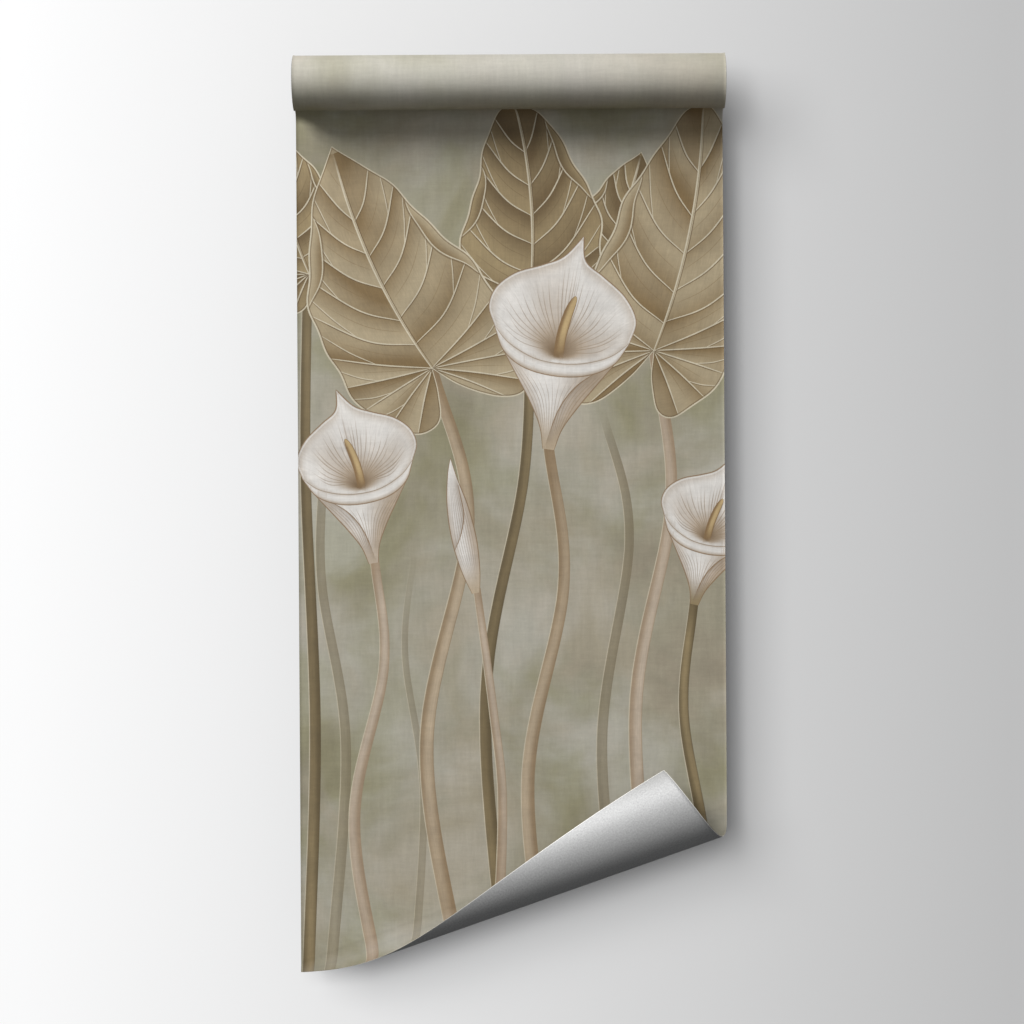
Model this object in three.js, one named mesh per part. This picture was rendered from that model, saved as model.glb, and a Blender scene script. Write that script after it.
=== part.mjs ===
// A roll of wallpaper, partly unrolled, hung by its core with the printed side to the viewer.
// The web is one continuous strip: wound printed side out, it leaves the roll underneath through a
// reverse bend, hangs flat, and curls forward at its lower right corner.
// Units are millimetres. +X is right along the roll, +Y away from the viewer, +Z up. The origin is on
// the roll's axis at mid width.

import * as THREE from "three";

// ---- Driving dimensions ----------------------------------------------------------------------

// The web: a standard roll of wallpaper, 0.53 m by 10.05 m.
const WEB_WIDTH = 530;
const WEB_LENGTH = 10050;
const PAPER = 0.25; // thickness of the paper
const HALF_PAPER = PAPER / 2;
const HALF_WIDTH = WEB_WIDTH / 2;

// The roll and its cardboard core.
const ROLL_RADIUS = 33.5;
const CORE_RADIUS = 16.5;
const CORE_WALL = 1.5;
const CORE_CLEARANCE = 0.3; // between the core and the first turn
const CORE_SIDES = 32;

// The hanging sheet. Its back lies in one plane with the back of the roll, as against a wall.
const REVERSE_RADIUS = 16; // bend from the roll's underside into the sheet
const CUT_MIDDLE_Z = -1092; // height of the lower cut at mid width, if the sheet hung flat
const CUT_SLOPE = 0.029; // the lower cut rises a little to the right

// The curled corner. The sheet starts to bend on a line that rises to the right. The rulings of the
// bend meet far to the left, so the curl opens out towards the right edge.
const CURL_LINE_Z = -991.5; // height of the line at mid width
const CURL_LINE_ANGLE = THREE.MathUtils.degToRad(20); // its rise to the right
const APEX_DISTANCE = 1874; // from mid width to where the rulings meet
const FOLD_RADIUS = 31; // bend radius at the right edge, where the bend starts
const FLAP_RADIUS = 80; // and over the flatter flap that it ends in
const FOLD_END = 62; // length of the tight bend, measured along the right edge
const FLAP_START = 124; // from here on the bend has the flap's radius

// How finely the shapes are divided.
const WOUND_SIDES = 16; // flats in each inner turn
const OUTER_SIDES = 32; // flats in the outermost turn, which shows
const REVERSE_STEPS = 12;
const SHEET_STEPS = 6;
const EDGE_STEPS = 2; // rulings of the bend that end on the left edge
const CURL_STEPS = 36; // rulings that end on the lower cut

// ---- The web's path, seen along the roll -----------------------------------------------------
// A station is one straight line across the web, given by its two ends and the printed side's
// normal. The heading is the angle of the path above +Y.

const WOUND_RADIUS = ROLL_RADIUS - HALF_PAPER; // to the middle of the outermost turn's paper
const FIRST_RADIUS = CORE_RADIUS + CORE_CLEARANCE + HALF_PAPER;
const SHEET_Y = WOUND_RADIUS; // middle of the hanging sheet's paper
const LEAVE_ANGLE = Math.asin((SHEET_Y - REVERSE_RADIUS) / (WOUND_RADIUS + REVERSE_RADIUS));
const REVERSE_Y = (WOUND_RADIUS + REVERSE_RADIUS) * Math.sin(LEAVE_ANGLE);
const REVERSE_Z = -(WOUND_RADIUS + REVERSE_RADIUS) * Math.cos(LEAVE_ANGLE);

// The turns hold what the hanging part leaves of the whole length.
const REVERSE_LENGTH = REVERSE_RADIUS * (LEAVE_ANGLE + Math.PI / 2);
const WOUND_LENGTH = WEB_LENGTH - REVERSE_LENGTH - (REVERSE_Z - CUT_MIDDLE_Z);
const PITCH = (Math.PI * (WOUND_RADIUS ** 2 - FIRST_RADIUS ** 2)) / WOUND_LENGTH;

function levelStation(y, z, heading) {
  return {
    left: new THREE.Vector3(-HALF_WIDTH, y, z),
    right: new THREE.Vector3(HALF_WIDTH, y, z),
    normal: new THREE.Vector3(0, Math.sin(heading), -Math.cos(heading)),
  };
}

// From the core outwards. The flats of all turns line up, so the paper of one turn never meets the
// next, and the outermost turn has twice as many.
function woundStations() {
  const turns = (WOUND_RADIUS - FIRST_RADIUS) / PITCH;
  const innerSteps = Math.floor((turns - 1) * WOUND_SIDES);
  const stations = [];
  const add = (turnsToGo) => {
    const heading = LEAVE_ANGLE - 2 * Math.PI * turnsToGo;
    const radius = WOUND_RADIUS - PITCH * turnsToGo;
    stations.push(levelStation(radius * Math.sin(heading), -radius * Math.cos(heading), heading));
  };
  for (let step = innerSteps; step > 0; step--) add(1 + step / WOUND_SIDES);
  for (let step = OUTER_SIDES; step > 0; step--) add(step / OUTER_SIDES);
  return stations;
}

// The reverse bend, from the roll's underside down into the plane of the sheet.
function reverseStations() {
  const stations = [];
  for (let step = 0; step <= REVERSE_STEPS; step++) {
    const heading = THREE.MathUtils.lerp(LEAVE_ANGLE, -Math.PI / 2, step / REVERSE_STEPS);
    const y = REVERSE_Y - REVERSE_RADIUS * Math.sin(heading);
    const z = REVERSE_Z + REVERSE_RADIUS * Math.cos(heading);
    stations.push(levelStation(y, z, heading));
  }
  return stations;
}

// The flat sheet: its lines turn bit by bit from level to the line where the curl starts.
function sheetStations() {
  const rise = HALF_WIDTH * Math.tan(CURL_LINE_ANGLE);
  const stations = [];
  for (let step = 1; step < SHEET_STEPS; step++) {
    const part = step / SHEET_STEPS;
    const leftZ = THREE.MathUtils.lerp(REVERSE_Z, CURL_LINE_Z - rise, part);
    const rightZ = THREE.MathUtils.lerp(REVERSE_Z, CURL_LINE_Z + rise, part);
    stations.push({
      left: new THREE.Vector3(-HALF_WIDTH, SHEET_Y, leftZ),
      right: new THREE.Vector3(HALF_WIDTH, SHEET_Y, rightZ),
      normal: new THREE.Vector3(0, -1, 0),
    });
  }
  return stations;
}

// ---- The curled corner -----------------------------------------------------------------------
// On the flat paper the rulings fan out from the apex. Folding the paper by a small angle at each
// ruling bends it without stretching it.

const APEX = new THREE.Vector3(
  -APEX_DISTANCE * Math.cos(CURL_LINE_ANGLE),
  SHEET_Y,
  CURL_LINE_Z - APEX_DISTANCE * Math.sin(CURL_LINE_ANGLE),
);
const RIGHT_EDGE_REACH = (HALF_WIDTH - APEX.x) / Math.cos(CURL_LINE_ANGLE);

// The fan angle below the curl's line at which a ruling of the flat paper meets the point (x, z).
function fanAngleTo(x, z) {
  return CURL_LINE_ANGLE - Math.atan2(z - APEX.z, x - APEX.x);
}

function cutHeight(x) {
  return CUT_MIDDLE_Z + CUT_SLOPE * x;
}

// How far from the apex a ruling crosses the side edge at x, and the lower cut.
function reachOfEdge(x, fan) {
  return (x - APEX.x) / Math.cos(CURL_LINE_ANGLE - fan);
}

function reachOfCut(fan) {
  const angle = CURL_LINE_ANGLE - fan;
  return (cutHeight(APEX.x) - APEX.z) / (Math.sin(angle) - CUT_SLOPE * Math.cos(angle));
}

function bendRadius(along) {
  const part = THREE.MathUtils.clamp((along - FOLD_END) / (FLAP_START - FOLD_END), 0, 1);
  return 1 / THREE.MathUtils.lerp(1 / FOLD_RADIUS, 1 / FLAP_RADIUS, part);
}

function curlStations() {
  const leftCorner = fanAngleTo(-HALF_WIDTH, cutHeight(-HALF_WIDTH));
  const rightCorner = fanAngleTo(HALF_WIDTH, cutHeight(HALF_WIDTH));
  const fans = [];
  for (let step = 0; step < EDGE_STEPS; step++) fans.push((leftCorner * step) / EDGE_STEPS);
  for (let step = 0; step <= CURL_STEPS; step++) {
    fans.push(THREE.MathUtils.lerp(leftCorner, rightCorner, step / CURL_STEPS));
  }

  const ruling = new THREE.Vector3(Math.cos(CURL_LINE_ANGLE), 0, Math.sin(CURL_LINE_ANGLE));
  const normal = new THREE.Vector3(0, -1, 0);
  const stations = [];
  let lastFan = 0;
  let lastHalfFold = 0;
  for (const fan of fans) {
    const turn = fan - lastFan;
    const strip = turn * RIGHT_EDGE_REACH;
    const halfFold = strip / bendRadius(fan * RIGHT_EDGE_REACH) / 2;
    // Each ruling takes the half fold that its own strip leaves over and half of the next one's.
    normal.applyAxisAngle(ruling, -lastHalfFold);
    ruling.applyAxisAngle(normal, -turn);
    normal.applyAxisAngle(ruling, -halfFold);
    const leftReach = fan < leftCorner ? reachOfEdge(-HALF_WIDTH, fan) : reachOfCut(fan);
    const rightReach = reachOfEdge(HALF_WIDTH, fan);
    stations.push({
      left: APEX.clone().addScaledVector(ruling, leftReach),
      right: APEX.clone().addScaledVector(ruling, rightReach),
      normal: normal.clone(),
    });
    lastFan = fan;
    lastHalfFold = halfFold;
  }
  return stations;
}

// ---- Meshes ----------------------------------------------------------------------------------

// A closed mesh of even thickness around a chain of stations. The last station is the corner, where
// the two ends meet in one point.
function webGeometry(stations) {
  const corner = stations.pop().right;
  const cornerNormal = stations[stations.length - 1].normal;
  const positions = [];
  for (const { left, right, normal } of stations) {
    for (const side of [HALF_PAPER, -HALF_PAPER]) {
      for (const end of [left, right]) {
        positions.push(...end.clone().addScaledVector(normal, side).toArray());
      }
    }
  }
  for (const side of [HALF_PAPER, -HALF_PAPER]) {
    positions.push(...corner.clone().addScaledVector(cornerNormal, side).toArray());
  }

  const index = [];
  const quad = (a, b, c, d) => index.push(a, b, c, a, c, d);
  const lastStation = 4 * (stations.length - 1);
  quad(0, 1, 3, 2); // the cut inside the roll
  for (let at = 0; at < lastStation; at += 4) {
    const next = at + 4;
    quad(at + 1, at, next, next + 1); // printed side
    quad(at + 2, at + 3, next + 3, next + 2); // back
    quad(at, at + 2, next + 2, next); // left edge
    quad(at + 3, at + 1, next + 1, next + 3); // right edge
  }
  const front = lastStation + 4;
  const back = front + 1;
  index.push(lastStation + 1, lastStation, front);
  index.push(lastStation + 2, lastStation + 3, back);
  quad(lastStation, lastStation + 2, back, front);
  quad(lastStation + 3, lastStation + 1, front, back);

  const geometry = new THREE.BufferGeometry();
  geometry.setAttribute("position", new THREE.Float32BufferAttribute(positions, 3));
  geometry.setIndex(index);
  geometry.computeVertexNormals();
  return geometry;
}

// A tube about +X, its rim profile turned about the axis.
function tubeGeometry(outerRadius, wall, length, sides) {
  const inner = outerRadius - wall;
  const profile = [
    new THREE.Vector2(inner, -length / 2),
    new THREE.Vector2(outerRadius, -length / 2),
    new THREE.Vector2(outerRadius, length / 2),
    new THREE.Vector2(inner, length / 2),
    new THREE.Vector2(inner, -length / 2),
  ];
  return new THREE.LatheGeometry(profile, sides);
}

// ---- The object ------------------------------------------------------------------------------

const wallpaper = new THREE.Mesh(
  webGeometry([
    ...woundStations(),
    ...reverseStations(),
    ...sheetStations(),
    ...curlStations(),
  ]),
  new THREE.MeshStandardMaterial({ color: 0x98917d, roughness: 0.8, metalness: 0 }),
);
wallpaper.name = "wallpaper";

const coreTube = new THREE.Mesh(
  tubeGeometry(CORE_RADIUS, CORE_WALL, WEB_WIDTH, CORE_SIDES),
  new THREE.MeshStandardMaterial({ color: 0xb39a78, roughness: 0.9, metalness: 0 }),
);
coreTube.name = "core_tube";
coreTube.rotation.z = -Math.PI / 2;

const wallpaperRoll = new THREE.Group();
wallpaperRoll.add(wallpaper, coreTube);

export default wallpaperRoll;
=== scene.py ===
# A roll of wallpaper, partly unrolled and hung by its core, with its lower right corner curled
# forward. The web is worked out flat, in millimetres, and then wound, bent and curled as paper is,
# without stretching. x is across the web, and z is a point's height if the whole web hung flat. The
# printed side is painted on the flat web as the colours of a fine mesh.

import math

import bpy
import numpy as np
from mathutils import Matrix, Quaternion, Vector
from mathutils.geometry import delaunay_2d_cdt


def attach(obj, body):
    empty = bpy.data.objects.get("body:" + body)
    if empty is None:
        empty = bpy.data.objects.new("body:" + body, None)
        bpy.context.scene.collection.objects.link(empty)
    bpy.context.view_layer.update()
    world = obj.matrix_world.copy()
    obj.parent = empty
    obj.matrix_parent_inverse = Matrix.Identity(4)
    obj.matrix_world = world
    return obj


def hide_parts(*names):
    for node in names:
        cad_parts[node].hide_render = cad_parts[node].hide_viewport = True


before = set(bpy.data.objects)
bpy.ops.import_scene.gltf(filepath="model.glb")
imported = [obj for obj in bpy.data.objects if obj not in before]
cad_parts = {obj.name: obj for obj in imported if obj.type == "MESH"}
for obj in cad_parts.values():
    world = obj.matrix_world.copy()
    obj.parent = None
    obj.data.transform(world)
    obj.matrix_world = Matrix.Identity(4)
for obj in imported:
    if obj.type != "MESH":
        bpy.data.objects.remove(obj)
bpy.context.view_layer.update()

MM = 0.001

# ---- The web's sizes, as in the model of the solids ----

HALF_WIDTH = 265
WEB_LENGTH = 10050
PAPER = 0.25
ROLL_RADIUS = 33.5
CORE_RADIUS = 16.5
CORE_WALL = 1.5
CORE_CLEARANCE = 0.3
REVERSE_RADIUS = 16
CUT_MIDDLE_Z = -1092
CUT_SLOPE = 0.029
CURL_LINE_Z = -991.5
CURL_LINE_ANGLE = math.radians(20)
APEX_DISTANCE = 1874
FOLD_RADIUS = 31
FLAP_RADIUS = 80
FOLD_END = 62
FLAP_START = 124

WOUND_RADIUS = ROLL_RADIUS - PAPER / 2
FIRST_RADIUS = CORE_RADIUS + CORE_CLEARANCE + PAPER / 2
SHEET_Y = WOUND_RADIUS
LEAVE_ANGLE = math.asin((SHEET_Y - REVERSE_RADIUS) / (WOUND_RADIUS + REVERSE_RADIUS))
REVERSE_Y = (WOUND_RADIUS + REVERSE_RADIUS) * math.sin(LEAVE_ANGLE)
REVERSE_Z = -(WOUND_RADIUS + REVERSE_RADIUS) * math.cos(LEAVE_ANGLE)
REVERSE_LENGTH = REVERSE_RADIUS * (LEAVE_ANGLE + math.pi / 2)
WOUND_LENGTH = WEB_LENGTH - REVERSE_LENGTH - (REVERSE_Z - CUT_MIDDLE_Z)
PITCH = math.pi * (WOUND_RADIUS**2 - FIRST_RADIUS**2) / WOUND_LENGTH

APEX_X = -APEX_DISTANCE * math.cos(CURL_LINE_ANGLE)
APEX_Z = CURL_LINE_Z - APEX_DISTANCE * math.sin(CURL_LINE_ANGLE)
RIGHT_EDGE_REACH = (HALF_WIDTH - APEX_X) / math.cos(CURL_LINE_ANGLE)

# The side edges of real paper don't lie quite flat: their last millimetres lift a little.
EDGE_BAND = 4.2
EDGE_LIFT = 0.55

# How finely the web is divided.
TURN_STEPS = 96
OUTER_TURNS = 1.08  # the printed piece holds the outermost turn, and a little of the one below
BEND_STEPS = 24
RULINGS = 72
TABLE_STEPS = 400
EDGE_COLUMNS = (0.6, 1.5, 2.7, EDGE_BAND)
WELD = 0.01

# ---- Lines ----


def unit(vectors):
    return vectors / np.linalg.norm(vectors, axis=-1, keepdims=True)


def distances(line):
    """How far along a line each of its points is."""
    return np.concatenate([[0], np.cumsum(np.linalg.norm(np.diff(line, axis=0), axis=1))])


def length_of(line):
    return distances(line)[-1]


def interpolated(at, known, rows):
    """Rows of values at some places, from the rows at the known places."""
    return np.stack([np.interp(at, known, column) for column in rows.T], axis=-1)


def spaced(line, spacing):
    length = distances(line)
    steps = max(2, round(length[-1] / spacing))
    return interpolated(np.linspace(0, length[-1], steps + 1), length, line)


SPACING = 4.0  # between the points of a printed outline
SPAN_STEPS = 12


def flowing(points, spacing=SPACING):
    """A smooth line through the points, with its own points evenly spaced."""
    knots = np.array(points, float)
    first, last = 2 * knots[0] - knots[1], 2 * knots[-1] - knots[-2]
    knots = np.vstack([first, knots, last])
    t = np.linspace(0, 1, SPAN_STEPS, endpoint=False)[:, None]
    spans = []
    for a, b, c, d in zip(knots, knots[1:], knots[2:], knots[3:]):
        bend = (2 * a - 5 * b + 4 * c - d) * t**2
        twist = (3 * b - a - 3 * c + d) * t**3
        spans.append(0.5 * (2 * b + (c - a) * t + bend + twist))
    return spaced(np.vstack([*spans, knots[-2]]), spacing)


def joined(*lines):
    """One closed outline from lines that follow each other."""
    points = np.vstack(lines)
    apart = np.linalg.norm(points - np.roll(points, 1, axis=0), axis=1) > 10 * WELD
    return points[apart]


def part_of(line, start, end):
    """The stretch of a line between two shares of its length."""
    steps = max(2, math.ceil(abs(end - start) * len(line)))
    return interpolated(np.linspace(start, end, steps + 1), np.linspace(0, 1, len(line)), line)


def point_of(line, share):
    return interpolated(share, np.linspace(0, 1, len(line)), line)


def beside(line, offset):
    """A line shifted to the left of its run, by one distance or by one at each point."""
    along = unit(np.gradient(line, axis=0))
    left = np.stack([-along[:, 1], along[:, 0]], axis=-1)
    return line + left * np.broadcast_to(offset, len(line))[:, None]


def band(line, half):
    """The outline of a band along a line, from its half width."""
    return joined(beside(line, half), beside(line, -half)[::-1])


def measured(points, line):
    """How far each point lies to the left of a line, and how far along it."""
    starts, runs = line[:-1], np.diff(line, axis=0)
    lengths = np.linalg.norm(runs, axis=1)
    offset = points[:, None] - starts
    share = np.clip((offset * runs).sum(-1) / lengths**2, 0, 1)
    gap = offset - runs * share[..., None]
    nearest = np.argmin((gap**2).sum(-1), axis=1)
    rows = np.arange(len(points))
    gap, run = gap[rows, nearest], runs[nearest]
    side = np.sign(run[:, 0] * gap[:, 1] - run[:, 1] * gap[:, 0])
    along = distances(line)[nearest] + share[rows, nearest] * lengths[nearest]
    return side * np.linalg.norm(gap, axis=1), along


def is_inside(points, outline):
    x, z = points[:, 0, None], points[:, 1, None]
    x0, z0 = outline.T
    x1, z1 = np.roll(outline, -1, axis=0).T
    rise = np.where(z1 == z0, 1, z1 - z0)
    crosses = ((z0 > z) != (z1 > z)) & (x < x0 + (z - z0) * (x1 - x0) / rise)
    return crosses.sum(axis=1) % 2 == 1


def eased(value, start, end):
    """0 at the start and 1 at the end, with a smooth change between them."""
    share = np.clip((value - start) / (end - start), 0, 1)
    return share * share * (3 - 2 * share)


# ---- The web in space ----


def cut_height(x):
    return CUT_MIDDLE_Z + CUT_SLOPE * x


def length_of_turns(turns):
    return math.pi * (2 * WOUND_RADIUS * turns - PITCH * turns**2)


def turns_of_length(length):
    return (WOUND_RADIUS - np.sqrt(WOUND_RADIUS**2 - PITCH * length / math.pi)) / PITCH


def fan_angle(x, z):
    """The angle below the curl's line, seen from the apex where the rulings meet."""
    return CURL_LINE_ANGLE - np.arctan2(z - APEX_Z, x - APEX_X)


LAST_FAN = float(fan_angle(HALF_WIDTH, cut_height(HALF_WIDTH)))
WEB_TOP = REVERSE_Z + REVERSE_LENGTH + length_of_turns(OUTER_TURNS)


def curl_table():
    """The ruling and the paper's normal at each fan angle, folded a little at each step."""
    fans = np.linspace(0, LAST_FAN, TABLE_STEPS + 1)
    ruling = Vector((math.cos(CURL_LINE_ANGLE), 0, math.sin(CURL_LINE_ANGLE)))
    normal = Vector((0, -1, 0))
    rows = [(*ruling, *normal)]
    turn = LAST_FAN / TABLE_STEPS
    for fan in fans[1:]:
        along = (fan - turn / 2) * RIGHT_EDGE_REACH
        part = min(max((along - FOLD_END) / (FLAP_START - FOLD_END), 0), 1)
        curvature = (1 - part) / FOLD_RADIUS + part / FLAP_RADIUS
        half_fold = turn * RIGHT_EDGE_REACH * curvature / 2
        normal.rotate(Quaternion(ruling, -half_fold))
        ruling.rotate(Quaternion(normal, -turn))
        normal.rotate(Quaternion(ruling, -half_fold))
        rows.append((*ruling, *normal))
    return fans, np.array(rows)


CURL_FANS, CURL_ROWS = curl_table()


def web_surface(x, z):
    """The middle of the paper in space, and the printed side's normal, for points of the flat
    web."""
    above = z - REVERSE_Z
    turns = turns_of_length(np.maximum(above - REVERSE_LENGTH, 0))
    bend = np.clip(above, 0, REVERSE_LENGTH) / REVERSE_RADIUS - math.pi / 2
    on_roll = above > REVERSE_LENGTH
    heading = np.where(on_roll, LEAVE_ANGLE - 2 * math.pi * turns, bend)
    sine, cosine = np.sin(heading), np.cos(heading)
    radius = WOUND_RADIUS - PITCH * turns
    y = np.where(on_roll, radius * sine, REVERSE_Y - REVERSE_RADIUS * sine)
    height = np.where(on_roll, -radius * cosine, REVERSE_Z + REVERSE_RADIUS * cosine)
    points = np.stack([x, y, np.where(above < 0, z, height)], axis=-1)
    normals = np.stack([0 * x, sine, -cosine], axis=-1)

    fan = fan_angle(x, z)
    curled = fan > 0
    reach = np.hypot(x - APEX_X, z - APEX_Z)[curled, None]
    rows = interpolated(fan[curled], CURL_FANS, CURL_ROWS)
    points[curled] = (APEX_X, SHEET_Y, APEX_Z) + rows[:, :3] * reach
    normals[curled] = rows[:, 3:]

    into_band = np.clip((np.abs(x) - (HALF_WIDTH - EDGE_BAND)) / EDGE_BAND, 0, 1)
    points += normals * (EDGE_LIFT * into_band**2)[:, None]
    normals[:, 0] -= 2 * EDGE_LIFT * into_band / EDGE_BAND * np.sign(x)
    return points, unit(normals)


# ---- Colours ----

LIGHT_LEVEL = 1.13  # how bright a white surface in the sheet's place looks in this light


def tone(red, green, blue):
    """The surface colour that looks like this tone, from 0 to 255, on the hanging sheet."""
    share = np.array([red, green, blue]) / 255
    linear = np.where(share <= 0.04045, share / 12.92, ((share + 0.055) / 1.055) ** 2.4)
    return linear / LIGHT_LEVEL


IVORY = tone(229, 225, 219)
PETAL = tone(208, 199, 188)
PETAL_SHADE = tone(176, 158, 136)
PETAL_LINE = tone(140, 114, 84)
THROAT = tone(124, 100, 70)
SPADIX = tone(194, 168, 122)
SPADIX_SHADE = tone(136, 108, 72)
CREAM = tone(208, 198, 174)
VEIN_SHADE = tone(106, 86, 56)

# The light and the dark colour of each kind of leaf and stalk.
LEAF = (tone(181, 166, 136), tone(130, 107, 70))
BACK_LEAF = (tone(162, 143, 106), tone(112, 92, 60))
TAN = (tone(186, 168, 142), tone(138, 115, 84))
ROSY = (tone(192, 176, 156), tone(154, 131, 104))
OLIVE = (tone(152, 134, 98), tone(92, 78, 50))
DIM = (tone(154, 143, 118), tone(122, 110, 84))


def mixed(first, second, share):
    share = np.clip(share, 0, 1)[..., None]
    return first * (1 - share) + second * share


# ---- Shapes of the print ----
# A shape is an outline, a rule that gives each point inside its colour, how much it covers what is
# below it, and its place across and along the brush's strokes, the lines inside it that its shading
# needs, and how far apart its inner points are.

shapes = []


def shape(outline, shade, guides=(), grid=None):
    shapes.append((outline, shade, guides, grid))


def faded(share, cover, fade_in, fade_out=0.0):
    """A cover that rises over the first share of a length, and falls over the last."""
    if fade_in:
        cover = cover * eased(share, 0, fade_in)
    if fade_out:
        cover = cover * eased(share, 1, 1 - fade_out)
    return cover


def stroke(line, width, colour, cover=1.0, fade_in=0.0, fade_out=0.0):
    """A thin painted line that narrows towards its ends. It can fade in and out."""
    shares = np.linspace(0, 1, len(line))
    taper = 0.3 + 0.7 * np.sqrt(np.sin(math.pi * np.clip(shares, 0.02, 0.98)))
    length = length_of(line)

    def shade(points):
        across, along = measured(points, line)
        return colour, faded(along / length, cover, fade_in, fade_out), across, along

    shape(band(line, width * taper / 2), shade)


STREAKS = (-0.8, -0.45, -0.1, 0.2, 0.55, 0.85)  # where a stalk has points across its half width


def stem(points, top_width, foot_width, colours=TAN, cover=1.0, fade_in=0.0):
    """A long stalk: a pale streak wanders along it, and it is darkest at its top and its rims."""
    line = flowing(points, 14)
    half = np.linspace(top_width, foot_width, len(line)) / 2
    length = length_of(line)
    phase = points[-1][0] / 40
    dark = colours[1]

    def shade(spots):
        across, along = measured(spots, line)
        share = along / length
        u = across / np.interp(share, np.linspace(0, 1, len(half)), half)
        streak = 0.45 * np.sin(along / 120 + phase)
        body = mixed(*colours, 0.85 * eased(np.abs(u - streak), 0.1, 1.2))
        body = mixed(body, dark, 0.3 + 0.3 * np.sin(along / 210 + 2 * phase))
        body = mixed(body, dark, 0.7 * eased(share, 0.12, 0))
        body = mixed(body, CREAM, 0.3 * eased(-u, 0.75, 1))
        return body, faded(share, cover, fade_in), across, along

    shape(band(line, half), shade, [beside(line, half * share) for share in STREAKS])
    stroke(beside(line, -half), 1.1, CREAM, 0.7 * cover, fade_in)
    stroke(beside(line, half), 1.1, dark, 0.5 * cover, fade_in)


def placing(origin, size, tilt, mirror=1):
    """A rule that puts a motif, drawn one unit high, on the web, and turns it clockwise."""
    sine, cosine = math.sin(math.radians(tilt)), math.cos(math.radians(tilt))

    def place(points):
        u, v = np.array(points, float).T * size
        u = u * mirror
        return np.stack([origin[0] + u * cosine + v * sine, origin[1] - u * sine + v * cosine], -1)

    return place


# ---- Leaves ----

# Half the outline of an arrow-shaped leaf, from the notch where the stalk joins round to the tip.
LEAF_HALF = [(0, 0), (0.045, -0.11), (0.12, -0.22), (0.215, -0.235), (0.29, -0.13), (0.33, 0.03),
             (0.335, 0.2), (0.3, 0.4), (0.235, 0.6), (0.135, 0.81), (0, 1)]
LOBE_VEINS = (0.19, 0.26, 0.33, 0.4, 0.48)  # shares of the margin that the joint's veins reach
SIDE_VEINS = 5
NEAR_TIP = 0.985
LEAF_GRID = 6.0


def leaf(origin, size, tilt, left, right, bow, seed, colours=LEAF):
    """An arrow-shaped leaf. left and right are the widths of its halves, and bow bends its
    midrib."""
    chance = np.random.default_rng(seed)
    place = placing(origin, size, tilt)

    def bowed(points):
        u, v = np.array(points, float).T
        return place(np.stack([u + bow * v * (1 - v) * 4, v], axis=-1))

    midrib = spaced(bowed([(0, v) for v in np.linspace(0, NEAR_TIP, 20)]), SPACING)
    for side, width in ((-1, left), (1, right)):
        half = flowing([(side * width * u, v) for u, v in LEAF_HALF], 0.01)
        shares = np.linspace(0, 1, len(half))
        waves = np.sin(shares * 2 * math.pi * 3.5 + chance.uniform(0, 6))
        waves += 0.5 * np.sin(shares * 2 * math.pi * 8 + chance.uniform(0, 6))
        margin = spaced(bowed(beside(half, 0.012 * waves * np.sin(math.pi * shares))), SPACING)
        leaf_half(margin, midrib, side, chance, colours)
    stroke(midrib, 3.6, CREAM, 0.95, fade_out=0.15)
    stroke(beside(midrib, -0.7), 1.3, mixed(*colours, 0.4), 0.8, fade_out=0.3)
    stroke(beside(midrib, -2.4), 1.4, VEIN_SHADE, 0.7, fade_out=0.3)


def leaf_half(margin, midrib, side, chance, colours):
    # Where each vein starts and ends, as shares of the midrib and the margin.
    ends = [(0.0, share) for share in LOBE_VEINS]
    for at in range(1, SIDE_VEINS + 1):
        share = at / (SIDE_VEINS + 1)
        jitter = chance.uniform(-0.012, 0.012, 2)
        ends.append((0.86 * share**1.15 + jitter[0], 0.48 + 0.5 * share**0.85 + jitter[1]))
    ahead = unit(midrib[-1] - midrib[0])

    def vein_line(first, last, dip):
        middle = (first + last) / 2 + ahead * dip * np.linalg.norm(last - first)
        return flowing([first, middle, last])

    veins = []
    for start, end in ends:
        dip = -0.11 if start > 0 else 0.16 * (0.36 - end)
        veins.append(vein_line(point_of(midrib, start), point_of(margin, end), dip))

    def wash(points):
        return mixed(*colours, 0.3), 1.0, *measured(points, midrib)

    shape(joined(margin, midrib[::-1]), wash, grid=LEAF_GRID)
    borders = [(0.0, 0.0), *ends, (NEAR_TIP, 1.0)]
    lines = [part_of(margin, 0, 0.02), *veins, part_of(margin, 0.98, 1)]
    for below, above, lower, upper in zip(borders, borders[1:], lines, lines[1:]):
        rib = part_of(midrib, below[0], above[0])
        rim = part_of(margin, below[1], above[1])
        leaf_sector(joined(lower, rim, upper[::-1], rib[::-1]), lower, upper, chance, colours)

    for at, (end, vein) in enumerate(zip(ends, veins)):
        if 0 < at < len(veins) - 1:
            tip = point_of(margin, 0.45 * end[1] + 0.55 * ends[at + 1][1])
            fork = vein_line(point_of(vein, chance.uniform(0.5, 0.7)), tip, -0.05)
            stroke(beside(fork, -side * 1.1), 1.2, VEIN_SHADE, 0.6, fade_out=0.2)
            stroke(fork, 1.3, CREAM, 0.8)
        stroke(beside(vein, -side * 1.3), 1.6, VEIN_SHADE, 0.75, fade_out=0.2)
        stroke(vein, 1.7, CREAM, 0.9)
    turned_edge(margin, midrib, chance, colours)
    stroke(beside(margin, side * 1.5), 1.8, VEIN_SHADE, 0.6)
    stroke(margin, 2.0, CREAM, 0.95)


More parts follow.
